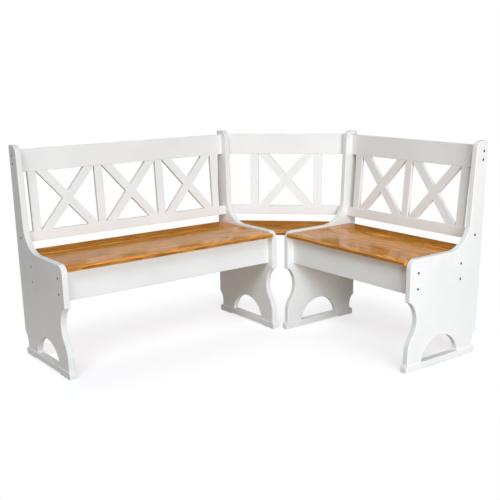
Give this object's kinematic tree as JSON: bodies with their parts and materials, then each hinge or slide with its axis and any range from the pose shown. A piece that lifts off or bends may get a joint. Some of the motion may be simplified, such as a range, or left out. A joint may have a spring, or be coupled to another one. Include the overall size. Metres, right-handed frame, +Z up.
{
  "type": "corner bench",
  "caption": "Corner bench in three sections with shaped side panels on foot bars, crossed-slat backs and lift-up seats over shallow storage boxes.",
  "frame": {"origin": "middle of the footprint's bounding box, on the floor", "axes": "+X along the long bench towards the corner, +Y from the long bench's front to its back, +Z up; the short bench runs along -Y from the corner"},
  "size_m": [1.497, 1.207, 0.885],
  "materials": {
    "white_paint": "satin white paint on wood",
    "seat_wood": "stained and glossy varnished softwood",
    "bare_wood": "bare wood",
    "black_steel": "black",
    "plain_steel": "bright zinc",
    "brass": "turned"
  },
  "bodies": {
    "frame": {"barrel_nuts": "plain_steel", "connecting_bolts": "black_steel", "corner_cross_1_falling_slat": "white_paint", "corner_cross_1_rising_slat": "white_paint", "corner_dowels": "bare_wood", "corner_lower_rail": "white_paint", "corner_seat": "seat_wood", "corner_seat_cleats": "bare_wood", "corner_seat_rail": "white_paint", "corner_stile_1": "white_paint", "corner_stile_2": "white_paint", "corner_top_rail": "white_paint", "long_box_floor": "bare_wood", "long_cross_1_falling_slat": "white_paint", "long_cross_1_rising_slat": "white_paint", "long_cross_2_falling_slat": "white_paint", "long_cross_2_rising_slat": "white_paint", "long_cross_3_falling_slat": "white_paint", "long_cross_3_rising_slat": "white_paint", "long_front_apron": "white_paint", "long_inner_foot": "white_paint", "long_inner_side": "white_paint", "long_lid_ledge": "bare_wood", "long_lower_rail": "white_paint", "long_outer_foot": "white_paint", "long_outer_side": "white_paint", "long_rear_apron": "white_paint", "long_rear_board": "seat_wood", "long_stile_1": "white_paint", "long_stile_2": "white_paint", "long_stile_3": "white_paint", "long_stile_4": "white_paint", "long_top_rail": "white_paint", "pivot_pins": "plain_steel", "rear_board_cleats": "bare_wood", "short_box_floor": "bare_wood", "short_cross_1_falling_slat": "white_paint", "short_cross_1_rising_slat": "white_paint", "short_cross_2_falling_slat": "white_paint", "short_cross_2_rising_slat": "white_paint", "short_front_apron": "white_paint", "short_inner_foot": "white_paint", "short_inner_side": "white_paint", "short_lid_ledge": "bare_wood", "short_lower_rail": "white_paint", "short_outer_foot": "white_paint", "short_outer_side": "white_paint", "short_rear_apron": "white_paint", "short_rear_board": "seat_wood", "short_stile_1": "white_paint", "short_stile_2": "white_paint", "short_stile_3": "white_paint", "short_top_rail": "white_paint", "wood_screws": "plain_steel"},
    "long_lid": {"long_seat_lid": "seat_wood", "long_lid_battens": "bare_wood", "long_pivot_bushes": "brass"},
    "short_lid": {"short_seat_lid": "seat_wood", "short_lid_battens": "bare_wood", "short_pivot_bushes": "brass"}
  },
  "joints": [
    {"name": "long_lid_hinge", "type": "hinge", "parent": "frame", "child": "long_lid", "pos_m": [-0.2205, 0.4565, 0.443], "axis": [-1, 0, 0], "range_deg": [0, 102]},
    {"name": "short_lid_hinge", "type": "hinge", "parent": "frame", "child": "short_lid", "pos_m": [0.6015, -0.2205, 0.443], "axis": [0, 1, 0], "range_deg": [0, 102]}
  ]
}
